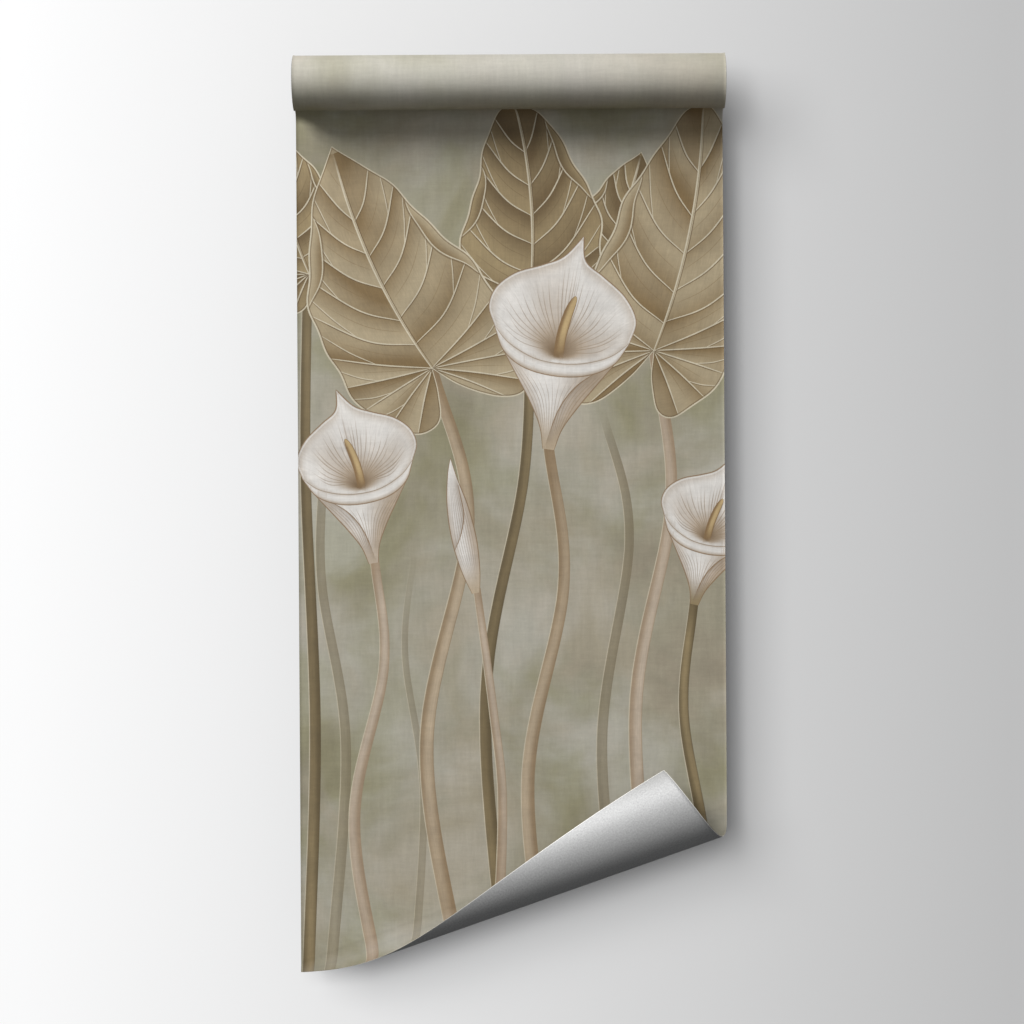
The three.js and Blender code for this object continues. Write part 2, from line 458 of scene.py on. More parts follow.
def leaf_sector(outline, lower, upper, chance, colours):
    """The panel between two veins, paler by one of them and in places darker by the midrib."""
    low = chance.uniform(-0.15, 0.3)
    high = low + chance.uniform(0.3, 0.75)
    if chance.random() < 0.3:
        low, high = high, low
    foot = max(0, chance.uniform(-0.3, 0.6))
    reach = 0.4 * length_of(upper)

    def shade(points):
        from_lower = np.abs(measured(points, lower)[0])
        from_upper, along = measured(points, upper)
        from_upper = np.abs(from_upper)
        share = from_lower / np.maximum(from_lower + from_upper, 0.01)
        deep = low + (high - low) * eased(share, 0, 1) + foot * np.exp(-((along / reach) ** 2))
        deep += 0.3 * np.exp(-from_upper / 5) + 0.15 * np.exp(-from_lower / 4)
        return mixed(*colours, deep), 1.0, share * 40, along

    shape(outline, shade)
    line = (spaced(lower, length_of(lower) / 10) + spaced(upper, length_of(upper) / 10)) / 2
    stroke(spaced(line, SPACING), 0.8, colours[1], 0.5, 0.15, 0.5)


def turned_edge(margin, midrib, chance, colours):
    """A stretch of the leaf's margin that is folded over, and shows its other face."""
    start = chance.uniform(0.5, 0.62)
    rim = part_of(margin, start, start + chance.uniform(0.2, 0.28))
    swell = np.sin(np.linspace(0, math.pi, len(rim))) ** 0.8
    inward = np.sign(measured(midrib[3:4], rim)[0][0])
    depth = inward * 0.055 * length_of(midrib) * swell
    inner = beside(rim, depth)

    def shade(points):
        across, along = measured(points, rim)
        share = np.abs(across) / (np.abs(depth).max() + 0.1)
        return mixed(*colours, 0.9 * eased(share, 0, 1)), 1.0, across, along

    shape(joined(rim, inner[::-1]), shade, [beside(rim, depth / 2)])
    stroke(beside(inner, inward * 1.6), 2.4, VEIN_SHADE, 0.6)
    stroke(inner, 1.6, CREAM, 0.9)


# ---- Flowers ----
# The flower is one broad petal rolled into a funnel: its inside shows above the mouth, its rim
# rolls outwards below the mouth, and its outside runs down to the stalk.

HOOD_LEFT = [(-0.345, 0.595), (-0.385, 0.69), (-0.36, 0.79), (-0.27, 0.875), (-0.14, 0.93),
             (-0.035, 0.985), (0.055, 1.1)]
HOOD_RIGHT = [(0.055, 1.1), (0.08, 0.975), (0.18, 0.905), (0.3, 0.815), (0.37, 0.7), (0.35, 0.585)]
MOUTH = [(0.35, 0.585), (0.26, 0.505), (0.13, 0.455), (0, 0.44), (-0.13, 0.455), (-0.26, 0.515),
         (-0.345, 0.595)]
LIP = [(-0.345, 0.595), (-0.285, 0.475), (-0.17, 0.4), (-0.01, 0.375), (0.15, 0.395),
       (0.28, 0.465), (0.35, 0.585)]
FUNNEL_LEFT = [(-0.3, 0.497), (-0.21, 0.365), (-0.12, 0.23), (-0.056, 0.11), (-0.029, 0)]
FUNNEL_RIGHT = [(0.029, 0), (0.058, 0.11), (0.125, 0.23), (0.215, 0.365), (0.298, 0.488)]
OVERLAP = [(0.2, 0.42), (0.1, 0.33), (0.03, 0.21), (-0.012, 0.05)]
THROAT_AT = (0.0, 0.475)
SPADIX_LINE = [(-0.005, 0.45), (0.0, 0.58), (0.022, 0.7), (0.05, 0.79)]
SPADIX_HALF = 0.024
PETAL_GRID = 3.6
HOOD_VEINS = 30
FUNNEL_VEINS = 15


def flower(origin, size, tilt, mirror, seed, stalk=TAN[0]):
    chance = np.random.default_rng(seed)
    place = placing(origin, size, tilt, mirror)
    rim = np.vstack([flowing(place(HOOD_LEFT)), flowing(place(HOOD_RIGHT))[1:]])
    mouth, lip = flowing(place(MOUTH)), flowing(place(LIP))
    hood(rim, mouth, place(THROAT_AT), mirror, chance)
    spadix(flowing(place(SPADIX_LINE), 3), SPADIX_HALF * size)
    funnel(place, lip, size, mirror, chance, stalk)
    rolled_lip(mouth, lip)


def hood(rim, mouth, throat, mirror, chance):
    outline = joined(rim, mouth)
    bearings = np.arctan2(*(outline - throat).T)
    reaches = np.linalg.norm(outline - throat, axis=1)
    order = np.argsort(bearings)
    phase = chance.uniform(0, 6)

    def shade(points):
        offset = points - throat
        bearing, reach = np.arctan2(*offset.T), np.linalg.norm(offset, axis=1)
        share = reach / np.interp(bearing, bearings[order], reaches[order], period=2 * math.pi)
        colour = mixed(THROAT, PETAL_SHADE, eased(share, 0.05, 0.32))
        colour = mixed(colour, PETAL, eased(share, 0.2, 0.5))
        colour = mixed(colour, IVORY, eased(share, 0.35, 0.75))
        fold = eased(np.sin(4 * bearing + phase), 0, 1) * np.exp(-(((share - 0.6) / 0.3) ** 2))
        right_side = eased(np.sin(bearing), 0.35, 1.35) * (1 - share)
        for deep in (0.38 * fold, 0.55 * eased(share, 0.84, 1), 0.5 * right_side):
            colour = mixed(colour, PETAL_SHADE, deep)
        return colour, 1.0, bearing * 90, reach

    shape(outline, shade, grid=PETAL_GRID)
    for at in range(1, HOOD_VEINS):
        share = at / HOOD_VEINS + chance.uniform(-0.008, 0.008)
        run = point_of(rim, share) - throat
        start = throat + run * chance.uniform(0.16, 0.24)
        stop = throat + run * chance.uniform(0.75, 0.97)
        bulge = mirror * np.array([run[1], -run[0]]) * (share - 0.5) * 0.16
        line = flowing([start, (start + stop) / 2 + bulge, stop])
        stroke(line, 1.15, PETAL_LINE, chance.uniform(0.3, 0.6), 0.1, 0.5)
    stroke(beside(rim, -2.0 * mirror), 2.0, IVORY, 0.75)
    stroke(rim, 1.6, PETAL_LINE, 0.85)


def spadix(line, widest):
    """The flower's yellow spike, which stands up out of the dark throat."""
    half = widest * np.sqrt(np.clip(1.02 - np.linspace(0, 1, len(line)) ** 6, 0, 1))
    length = length_of(line)

    def shade(points):
        across, along = measured(points, line)
        share = along / length
        colour = mixed(SPADIX, SPADIX_SHADE, eased(np.abs(across / widest + 0.25), 0.2, 1))
        colour = mixed(SPADIX_SHADE, colour, eased(share, 0, 0.5))
        return colour, eased(share, 0, 0.22), across * 3, along * 8

    shape(band(line, half), shade, grid=2.4)
    for side in (half, -half):
        stroke(beside(line, side), 1.1, SPADIX_SHADE, 0.8, 0.3)


def funnel(place, lip, size, mirror, chance, stalk):
    left, right = flowing(place(FUNNEL_LEFT)), flowing(place(FUNNEL_RIGHT))
    top = part_of(lip, 0.12, 0.88)
    axis = flowing(place([(0.0, 0.0), (0.005, 0.25), (0.0, 0.6)]))
    overlap = flowing(place(OVERLAP))
    heights, widths = [0, 0.22, 0.46, 0.73, 1.0], [0.03, 0.06, 0.122, 0.213, 0.3]

    def shade(points):
        across, along = measured(points, axis)
        share = along / (0.5 * size)
        u = -across / (size * np.interp(share, heights, widths))
        colour = mixed(IVORY, PETAL_SHADE, 0.95 * eased(u, -0.2, 0.9))
        colour = mixed(colour, PETAL_SHADE, 0.6 * eased(-u, 0.5, 1))
        colour = mixed(stalk, colour, eased(share, 0, 0.5))
        colour = mixed(colour, THROAT, 0.5 * fold_shadow(points, overlap, mirror, 0.03 * size))
        return mixed(colour, PETAL_SHADE, 0.6 * eased(share, 0.72, 1)), 1.0, u * 30, along

    shape(joined(top[::-1], left, right), shade, [overlap], PETAL_GRID)
    for at in range(1, FUNNEL_VEINS):
        share = at / FUNNEL_VEINS
        foot, waist = place([((share - 0.5) * 0.07, 0.03), ((share - 0.5) * 0.26, 0.25)])
        line = flowing([foot, waist, point_of(top, share)])
        stroke(line, 1.0, PETAL_LINE, chance.uniform(0.3, 0.5), 0.3, 0.25)
    stroke(overlap, 1.5, PETAL_LINE, 0.85, 0.1, 0.2)
    stroke(left, 1.5, PETAL_LINE, 0.8)
    stroke(right, 1.5, PETAL_LINE, 0.9)


def fold_shadow(points, fold, mirror, reach):
    """How dark it is beside a fold, on the side that lies under it."""
    beyond = measured(points, fold)[0]
    return np.exp(-np.abs(beyond) / reach) * (beyond * mirror > 0)


def rolled_lip(mouth, lip):
    def shade(points):
        inward, along = measured(points, mouth)
        down = np.abs(measured(points, lip)[0])
        share = np.abs(inward) / np.maximum(np.abs(inward) + down, 0.01)
        colour = mixed(PETAL, IVORY, eased(share, 0, 0.3))
        return mixed(colour, PETAL_SHADE, 0.85 * eased(share, 0.55, 1)), 1.0, inward, along

    shape(joined(mouth, lip), shade, grid=2.0)
    stroke(lip, 1.5, PETAL_LINE, 0.8)
    stroke(mouth, 1.2, PETAL_LINE, 0.6)


BUD_LEFT = [(-0.03, 0), (-0.075, 0.2), (-0.095, 0.45), (-0.075, 0.72), (-0.02, 0.95), (0.03, 1.08)]
BUD_RIGHT = [(0.03, 1.08), (0.05, 0.9), (0.085, 0.68), (0.095, 0.42), (0.07, 0.18), (0.03, 0)]
BUD_WRAP = [(-0.093, 0.36), (-0.02, 0.47), (0.04, 0.63), (0.045, 0.86)]
BUD_VEINS = 9


def bud(origin, size, tilt, mirror, seed):
    """A closed flower, its petal still wrapped round itself."""
    chance = np.random.default_rng(seed)
    place = placing(origin, size, tilt, mirror)
    left, right = flowing(place(BUD_LEFT)), flowing(place(BUD_RIGHT))
    axis = flowing(place([(0, 0), (0, 0.5), (0.03, 1.08)]))
    wrap = flowing(place(BUD_WRAP))

    def shade(points):
        across, along = measured(points, axis)
        u = -across / (0.1 * size)
        colour = mixed(IVORY, PETAL_SHADE, 0.9 * eased(u, -0.2, 0.9))
        colour = mixed(colour, PETAL_SHADE, 0.6 * eased(-u, 0.4, 0.9))
        colour = mixed(TAN[0], colour, eased(along / (1.08 * size), 0, 0.3))
        shadow = fold_shadow(points, wrap, mirror, 0.04 * size)
        return mixed(colour, THROAT, 0.45 * shadow), 1.0, u * 16, along

    shape(joined(left, right), shade, [wrap], PETAL_GRID)
    for at in range(1, BUD_VEINS):
        off = at / BUD_VEINS - 0.5
        line = flowing(place([(off * 0.06, 0.04), (off * 0.17, 0.45), (0.02 + off * 0.05, 0.98)]))
        stroke(line, 0.9, PETAL_LINE, chance.uniform(0.3, 0.5), 0.3, 0.3)
    stroke(wrap, 1.3, PETAL_LINE, 0.85)
    stroke(left, 1.4, PETAL_LINE, 0.8)
    stroke(right, 1.4, PETAL_LINE, 0.85)


# ---- The design ----

FOOT = -1120  # stalks run off the lower cut

stem([(-226, -400), (-238, -600), (-208, -820), (-230, FOOT)], 10, 14, DIM, 0.7, 0.2)
stem([(112, -400), (146, -560), (110, -820), (138, FOOT)], 10, 15, DIM, 0.75, 0.1)
stem([(-118, -560), (-134, -700), (-112, -880), (-126, FOOT)], 7, 10, DIM, 0.5, 0.25)

stem([(-252, -232), (-256, -480), (-246, -800), (-257, FOOT)], 12, 15, OLIVE)
leaf((-250, -232), 186, -14, 1.0, 1.15, -0.04, 11, BACK_LEAF)
leaf((110, -232), 158, 20, 1.1, 1.15, 0.03, 12, BACK_LEAF)
stem([(24, -262), (16, -480), (-34, -760), (-10, FOOT)], 12, 16, OLIVE)
leaf((24, -262), 262, -5, 1.02, 1.0, 0.05, 8, BACK_LEAF)
stem([(178, -330), (198, -520), (152, -780), (178, FOOT)], 13, 18, ROSY)
leaf((178, -330), 330, 11, 0.98, 0.86, 0.05, 5)
stem([(-98, -350), (-54, -540), (-108, -820), (-64, FOOT)], 14, 19)
leaf((-98, -350), 302, -24, 1.02, 1.16, -0.05, 3)

stem([(-171, -586), (-160, -720), (-198, -910), (-168, FOOT)], 11, 16, ROSY)
flower((-172, -592), 200, -9, -1, 21, ROSY[0])
stem([(46, -446), (64, -620), (18, -860), (42, FOOT)], 13, 18)
flower((46, -452), 244, 7, 1, 22)
stem([(226, -640), (212, -780), (238, -960), (222, FOOT)], 11, 15, OLIVE)
flower((226, -646), 172, 12, 1, 23, OLIVE[0])
stem([(-44, -624), (-24, -780), (-14, -900), (-24, FOOT)], 9, 13, ROSY)
bud((-45, -630), 158, -12, 1, 24)

# ---- The printed mesh ----


def bend_levels():
    """The heights of the level lines that the reverse bend and the roll need."""
    in_bend = REVERSE_Z + np.linspace(0, REVERSE_LENGTH, BEND_STEPS + 1)
    turns = np.arange(1, int(OUTER_TURNS * TURN_STEPS)) / TURN_STEPS
    return [*in_bend, *(REVERSE_Z + REVERSE_LENGTH + length_of_turns(turns))]


def ruling_line(fan):
    """A ruling of the curl on the flat web, from the left edge or the cut to the right edge."""
    cosine, sine = math.cos(CURL_LINE_ANGLE - fan), math.sin(CURL_LINE_ANGLE - fan)
    edge = (-HALF_WIDTH - APEX_X) / cosine
    cut = (cut_height(APEX_X) - APEX_Z) / (sine - CUT_SLOPE * cosine)
    ends = (max(edge, cut), (HALF_WIDTH - APEX_X) / cosine)
    return [(APEX_X + cosine * reach, APEX_Z + sine * reach) for reach in ends]


def web_lines():
    """The web's outline and the lines that its bends and lifted edges need, on the flat web."""
    left, right = -HALF_WIDTH, HALF_WIDTH
    foot = (left, cut_height(left))
    lines = [[foot, (right, cut_height(right)), (right, WEB_TOP), (left, WEB_TOP), foot]]
    lines += [[(left, level), (right, level)] for level in bend_levels()]
    lines += [ruling_line(fan) for fan in np.linspace(0, LAST_FAN, RULINGS, endpoint=False)]
    for inset in EDGE_COLUMNS:
        lines += [[(x, cut_height(x)), (x, WEB_TOP)] for x in (left + inset, right - inset)]
    return lines


def grid_inside(outline, spacing):
    low, high = outline.min(axis=0), outline.max(axis=0)
    rows = np.arange(low[1], high[1], spacing * math.sqrt(3) / 2)
    columns = np.arange(low[0], high[0], spacing)
    x, z = np.meshgrid(columns, rows)
    x[1::2] += spacing / 2
    points = np.stack([x.ravel(), z.ravel()], axis=-1)
    return points[is_inside(points, outline)]


def triangulated():
    """The flat web's points and triangles. Every line of the web and the print is an edge."""
    points, edges = [], []

    def add_line(line):
        first = len(points)
        points.extend(line)
        edges.extend((first + at, first + at + 1) for at in range(len(line) - 1))

    for line in web_lines():
        add_line(line)
    for outline, _, guides, grid in shapes:
        add_line(np.vstack([outline, outline[:1]]))
        for guide in guides:
            add_line(guide)
        if grid:
            points.extend(grid_inside(outline, grid))
    found = delaunay_2d_cdt([Vector(p) for p in points], edges, [], 0, WELD, False)
    spots = np.array([tuple(v) for v in found[0]])
    triangles = np.array(found[2])
    a, b, c = (spots[triangles[:, k]] for k in range(3))
    area = (b[:, 0] - a[:, 0]) * (c[:, 1] - a[:, 1]) - (b[:, 1] - a[:, 1]) * (c[:, 0] - a[:, 0])
    triangles[area < 0] = triangles[area < 0][:, ::-1]
    x, z = ((a + b + c) / 3).T
    on_web = (np.abs(x) < HALF_WIDTH) & (z > cut_height(x)) & (z < WEB_TOP)
    triangles = triangles[(np.abs(area) > WELD**2) & on_web]
    used, triangles = np.unique(triangles, return_inverse=True)
    return spots[used], triangles.reshape(-1, 3)


def painted(spots, triangles):
    """The paint, which is a colour and its cover, and the brush's place at each triangle's corners.
    The shapes are laid over each other in turn."""
    corners = spots[triangles]
    centres = corners.mean(axis=1)
    paint = np.zeros((*triangles.shape, 4))
    brush = np.zeros((*triangles.shape, 3))
    for outline, shade, guides, grid in shapes:
        low, high = outline.min(axis=0), outline.max(axis=0)
        near = np.flatnonzero(((centres > low) & (centres < high)).all(axis=1))
        hit = near[is_inside(centres[near], outline)]
        if not len(hit):
            continue
        count = 3 * len(hit)
        colour, cover, across, along = shade(corners[hit].reshape(-1, 2))
        colour = np.broadcast_to(colour, (count, 3)).reshape(-1, 3, 3)
        cover = np.broadcast_to(cover, count).reshape(-1, 3, 1)
        below = paint[hit, :, 3:] * (1 - cover)
        blend = colour * cover + paint[hit, :, :3] * below
        paint[hit, :, :3] = blend / np.maximum(cover + below, 1e-6)
        paint[hit, :, 3:] = cover + below
        if grid or guides:
            brush[hit, :, :2] = np.stack([across, along], axis=-1).reshape(-1, 3, 2)
    return paint, brush


FLAT_MAP = "flat"  # the place on the flat web, in metres, which the materials read
BAKE_MAP = "OFBake"


def new_mesh(name, points, faces, flat, bake, slots=0, smooth=True):
    """A mesh from points in millimetres, with both its maps and each face's material."""
    mesh = bpy.data.meshes.new(name)
    mesh.from_pydata((points * MM).tolist(), [], faces)
    for layer, places in ((FLAT_MAP, flat * MM), (BAKE_MAP, bake)):
        uv = mesh.uv_layers.new(name=layer).uv
        uv.foreach_set("vector", np.asarray(places, np.float32).ravel())
    mesh.polygons.foreach_set("material_index", np.full(len(faces), slots, np.int32))
    mesh.polygons.foreach_set("use_smooth", np.full(len(faces), smooth))
    return mesh


def paper_mesh(spots, triangles):
    """A closed shell of paper: the printed side, the back, and the cut edges between them."""
    middle, normals = web_surface(*spots.T)
    points = np.vstack([middle + normals * PAPER / 2, middle - normals * PAPER / 2])
    count, panels = len(spots), len(triangles)
    sides = [side for a, b, c in triangles.tolist() for side in ((a, b), (b, c), (c, a))]
    known = set(sides)
    rim = np.array([(b, a, a + count, b + count) for a, b in sides if (b, a) not in known])
    back = triangles[:, ::-1]
    faces = [*triangles.tolist(), *(back + count).tolist(), *rim.tolist()]
    flat = spots[np.concatenate([triangles.ravel(), back.ravel(), rim.ravel() % count])]
    bake = bake_places(flat, 3 * panels, rim.ravel() >= count)
    slots = np.repeat([0, 1, 2], [panels, panels, len(rim)])
    mesh = new_mesh("printed_web", points, faces, flat, bake, slots)

    a, b, c, d = points[rim].transpose(1, 0, 2)
    rim_normals = np.repeat(unit(np.cross(c - a, d - b)), 4, axis=0)
    corner_normals = [normals[triangles.ravel()], -normals[back.ravel()], rim_normals]
    mesh.normals_split_custom_set(np.vstack(corner_normals).tolist())
    return mesh


BAKE_SPAN = 1400  # of the flat web, in millimetres, that the bake map is wide
BAKE_MARGIN = 5
STRIP_AT = 1090
STRIP_WIDTH = 12


def bake_places(flat, side_corners, on_back):
    """The printed side and the back lie side by side, and the cut edges in a strip beside them."""
    places = flat + (HALF_WIDTH + BAKE_MARGIN, BAKE_MARGIN - cut_height(-HALF_WIDTH))
    places[side_corners:2 * side_corners, 0] += 2 * (HALF_WIDTH + BAKE_MARGIN)
    column = on_back + 2 * (flat[2 * side_corners:, 0] > 0)
    places[2 * side_corners:, 0] = STRIP_AT + column * STRIP_WIDTH
    return places / BAKE_SPAN


def set_layer(mesh, layer, field, rows):
    """Sets a layer on the corners of the printed side, which come first in the mesh."""
    values = np.zeros(len(mesh.loops) * rows.shape[-1], np.float32)
    values[:rows.size] = rows.ravel()
    layer.data.foreach_set(field, values)


# ---- Materials ----


class Nodes:
    """A node tree under construction."""

    def __init__(self, tree):
        self.tree = tree

    def put(self, node, inputs):
        """Gives a node's sockets their values, or links them to the outputs of other nodes."""
        for name, value in inputs.items():
            if isinstance(value, bpy.types.NodeSocket):
                self.tree.links.new(value, node.inputs[name])
            else:
                node.inputs[name].default_value = value

    def node(self, kind, inputs=(), **settings):
        made = self.tree.nodes.new("ShaderNode" + kind)
        for name, value in settings.items():
            setattr(made, name, value)
        self.put(made, dict(inputs))
        return made

    def out(self, name, kind, inputs=(), **settings):
        return self.node(kind, inputs, **settings).outputs[name]

    def math(self, operation, *values):
        return self.out("Value", "Math", enumerate(values), operation=operation)

    def between(self, value, start, end, at_start, at_end):
        """A value that runs from one level to another as the given one runs from start to end."""
        inputs = {"Value": value, "From Min": start, "From Max": end, "To Min": at_start,
                  "To Max": at_end}
        return self.out("Result", "MapRange", inputs)


class Look(Nodes):
    """A material under construction: a shader and the nodes that feed it."""

    def __init__(self, name, roughness, specular):
        self.material = bpy.data.materials.new(name)
        self.material.use_nodes = True
        super().__init__(self.material.node_tree)
        self.shader = self.tree.nodes["Principled BSDF"]
        self.put(self.shader, {"Roughness": roughness, "Specular IOR Level": specular})

    def flat_place(self):
        return self.out("UV", "UVMap", uv_map=FLAT_MAP)

    def mapped(self, place, across=1.0, along=1.0, shift=0.0):
        """Places stretched and shifted, so that a noise on them runs finer or is another one."""
        inputs = {"Vector": place, "Location": (shift, shift, 0), "Scale": (across, along, 1)}
        return self.out("Vector", "Mapping", inputs)

    def parts(self, place):
        split = self.node("SeparateXYZ", {"Vector": place})
        return split.outputs["X"], split.outputs["Y"]

    def noise(self, place, scale, detail=2.0, roughness=0.5, distortion=0.0):
        inputs = {"Vector": place, "Scale": scale, "Detail": detail, "Roughness": roughness,
                  "Distortion": distortion}
        return self.out("Fac", "TexNoise", inputs)

    def mix(self, share, *colours):
        first, second = (c if isinstance(c, bpy.types.NodeSocket) else (*c, 1) for c in colours)
        return self.out(2, "Mix", {0: share, 6: first, 7: second}, data_type="RGBA")

    def ramp(self, value, stops):
        made = self.node("ValToRGB", {"Fac": value})
        elements = made.color_ramp.elements
        while len(elements) < len(stops):
            elements.new(0.5)
        for element, (position, colour) in zip(elements, stops):
            element.position = position
            element.color = (*colour, 1)
        return made.outputs["Color"]

    def scaled(self, colour, factor):
        return self.out("Vector", "VectorMath", {0: colour, "Scale": factor}, operation="SCALE")

    def varied(self, colour, *noises):
        """A colour made lighter and darker by noises, each with how much it does so."""
        for noise, amount in noises:
            off_middle = self.math("SUBTRACT", noise, 0.5)
            colour = self.scaled(colour, self.math("MULTIPLY_ADD", off_middle, 2 * amount, 1.0))
        return colour

    def finish(self, colour, height, distance, strength=1.0):
        bump = {"Height": height, "Distance": distance, "Strength": strength}
        self.put(self.shader, {"Base Color": colour, "Normal": self.out("Normal", "Bump", bump)})
        return self.material


def linen(look, flat, across, along):
    """Threads across and along the web, as noises of so many waves a metre."""
    upright = look.noise(look.mapped(flat, across, along), 1.0)
    level = look.noise(look.mapped(flat, along, across), 1.0)
    return look.math("MULTIPLY", look.math("ADD", upright, level), 0.5)


def printed_look():
    look = Look("printed_face", 0.66, 0.45)
    flat = look.flat_place()
    x, z = look.parts(flat)
    ground = painted_ground(look, flat, x, z)

    art = look.node("Attribute", attribute_name="print")
    brush = look.out("Vector", "Attribute", attribute_name="brush")
    strokes = look.noise(look.mapped(brush, 0.55, 0.035), 1.0, 3.0, 0.65)
    washes = look.noise(look.mapped(flat, shift=7.0), 24.0, 3.0, 0.6, 0.5)
    painting = look.varied(art.outputs["Color"], (strokes, 0.16), (washes, 0.22))
    colour = look.mix(art.outputs["Alpha"], ground, painting)
    threads, slubs = linen(look, flat, 620, 90), linen(look, flat, 230, 26)
    speckle = look.noise(flat, 260, 3.0, 0.7)
    colour = look.varied(colour, (threads, 0.1), (slubs, 0.14), (speckle, 0.07))

    # Painted shade on the curled corner: the colours deepen from just above the curl's line to 14 mm
    # below it, and stay so below.
    curl_line = look.math("MULTIPLY_ADD", x, math.tan(CURL_LINE_ANGLE), CURL_LINE_Z * MM)
    below_line = look.math("SUBTRACT", curl_line, z)
    colour = look.scaled(colour, look.between(below_line, -0.003, 0.014, 1.0, 0.6))
    return look.finish(colour, threads, 0.00012, 0.6)


PAINTED_SHEEN_X = 0.04  # where the painted sheen on the roll is thickest, in metres across the web


def painted_ground(look, flat, x, z):
    """Grey-green and sandy clouds, with a pale sheen painted over them on the roll."""
    clouds = look.noise(flat, 5.0, 4.0, 0.55, 0.6)
    ground = look.ramp(clouds, [(0.36, tone(130, 122, 97)), (0.45, tone(153, 147, 122)),
                                (0.53, tone(171, 167, 150)), (0.63, tone(193, 191, 180))])
    hues = look.noise(look.mapped(flat, shift=3.0), 7.0, 3.0, 0.55, 0.5)
    tinted = look.ramp(hues, [(0.38, tone(150, 146, 115)), (0.5, tone(165, 159, 141)),
                              (0.61, tone(180, 169, 151))])
    ground = look.mix(0.5, ground, tinted)
    # Painted sheen: a pale grey wash over the print on the roll, thickest near the middle of its
    # width.
    from_middle = look.math("ABSOLUTE", look.math("SUBTRACT", x, PAINTED_SHEEN_X))
    on_roll = look.between(z, -0.01, 0.04, 0.0, 1.0)
    painted_sheen = look.math("MULTIPLY", on_roll, look.between(from_middle, 0.04, 0.26, 0.65, 0.2))
    ground = look.mix(painted_sheen, ground, tone(200, 197, 190))
    return look.varied(ground, (look.noise(look.mapped(flat, 60, 9), 1.0, 4.0, 0.6), 0.12))


RIM = 0.0007  # of pale fibres along the cut edges of the back, in metres
BACK_ROUGHNESS = 0.57


def back_look():
    """Satin grey backing paper, with a fine grain and a pale rim where it was cut."""
    look = Look("paper_back", BACK_ROUGHNESS, 1.0)
    flat = look.flat_place()
    grain = look.noise(flat, 480, 3.0, 0.75)
    fibres = look.noise(flat, 1100, 2.0, 0.7)
    colour = look.mix(look.noise(flat, 30, 3.0), (0.185, 0.185, 0.183), (0.235, 0.235, 0.232))
    colour = look.varied(colour, (grain, 0.9), (fibres, 0.15))
    x, z = look.parts(flat)
    by_side = look.math("GREATER_THAN", look.math("ABSOLUTE", x), HALF_WIDTH * MM - RIM)
    cut = look.math("MULTIPLY_ADD", x, CUT_SLOPE, CUT_MIDDLE_Z * MM + RIM)
    rim = look.math("MAXIMUM", by_side, look.math("LESS_THAN", z, cut))
    colour = look.mix(look.math("MULTIPLY", rim, 0.75), colour, (0.78, 0.76, 0.7))
    grain_gloss = -0.3
    roughness = look.math("MULTIPLY_ADD", grain, grain_gloss, BACK_ROUGHNESS - grain_gloss / 2)
    look.put(look.shader, {"IOR": 1.95, "Roughness": roughness})
    height = look.math("ADD", grain, look.math("MULTIPLY", fibres, 0.4))
    return look.finish(colour, height, 0.0003, 0.6)


def edge_look():
    look = Look("paper_edge", 0.85, 0.2)
    flat = look.flat_place()
    fuzz = look.noise(flat, 1500)
    colour = look.ramp(look.noise(flat, 1.3, 4.0, 0.6), [
        (0.35, (0.50, 0.46, 0.37)), (0.5, (0.62, 0.58, 0.49)), (0.65, (0.70, 0.67, 0.59))])
    return look.finish(look.varied(colour, (fuzz, 0.15)), fuzz, 0.0001)


PLY_PITCH = 0.096  # of the seam that winds along the core, in metres
SEAM_SHARE = 0.008  # of the pitch, each side of the seam's middle


def core_look():
    """Grey-brown board, wound from strips: a helical seam, and fibres along the strips."""
    look = Look("core_board", 0.9, 0.2)
    flat = look.flat_place()  # along the tube and round it, in metres
    fibres = look.noise(look.mapped(flat, 900, 260), 1.0, 3.0, 0.7)
    clouds = look.noise(flat, 20)
    colour = look.ramp(clouds, [(0.3, tone(150, 128, 98)), (0.7, tone(170, 148, 118))])
    colour = look.varied(colour, (fibres, 0.2), (look.noise(flat, 420, 4.0, 0.7), 0.14))
    along, around = look.parts(flat)
    turns = look.math("DIVIDE", around, 2 * math.pi * CORE_RADIUS * MM)
    phase = look.math("FRACT", look.math("ADD", look.math("DIVIDE", along, PLY_PITCH), turns))
    off_seam = look.math("ABSOLUTE", look.math("SUBTRACT", phase, 0.5))
    seam = look.math("LESS_THAN", off_seam, SEAM_SHARE)
    colour = look.mix(look.math("MULTIPLY", seam, 0.6), colour, tone(92, 74, 50))
    height = look.math("SUBTRACT", look.math("MULTIPLY", fibres, 0.4), seam)
    return look.finish(colour, height, 0.0003)


# ---- Pieces ----


def add_object(data, materials=()):
    thing = bpy.data.objects.new(data.name, data)
    bpy.context.scene.collection.objects.link(thing)
    for material in materials:
        data.materials.append(material)
    return thing


def add_piece(mesh, materials, node):
    piece = add_object(mesh, materials)
    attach(piece, "root")
    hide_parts(node)
    return piece


def printed_web():
    """The hanging sheet with its curl, the reverse bend, and the turn of the roll that shows."""
    spots, triangles = triangulated()
    mesh = paper_mesh(spots, triangles)
    paint, brush = painted(spots, triangles)
    layer = mesh.color_attributes.new("print", "FLOAT_COLOR", "CORNER")
    set_layer(mesh, layer, "color", paint)
    layer = mesh.attributes.new("brush", "FLOAT_VECTOR", "CORNER")
    set_layer(mesh, layer, "vector", brush)
    return mesh


def wander(turns):
    """How far each turn lies off the roll's middle, in millimetres."""
    slow = 0.28 * np.sin(turns * 0.43 + 1.0) + 0.16 * np.sin(turns * 1.17 + 2.2)
    fine = 0.12 * np.sin(turns * 3.1) + 0.07 * np.sin(turns * 7.3 + 0.6)
    return (slow + fine) * np.clip((turns - OUTER_TURNS) / 2, 0, 1)


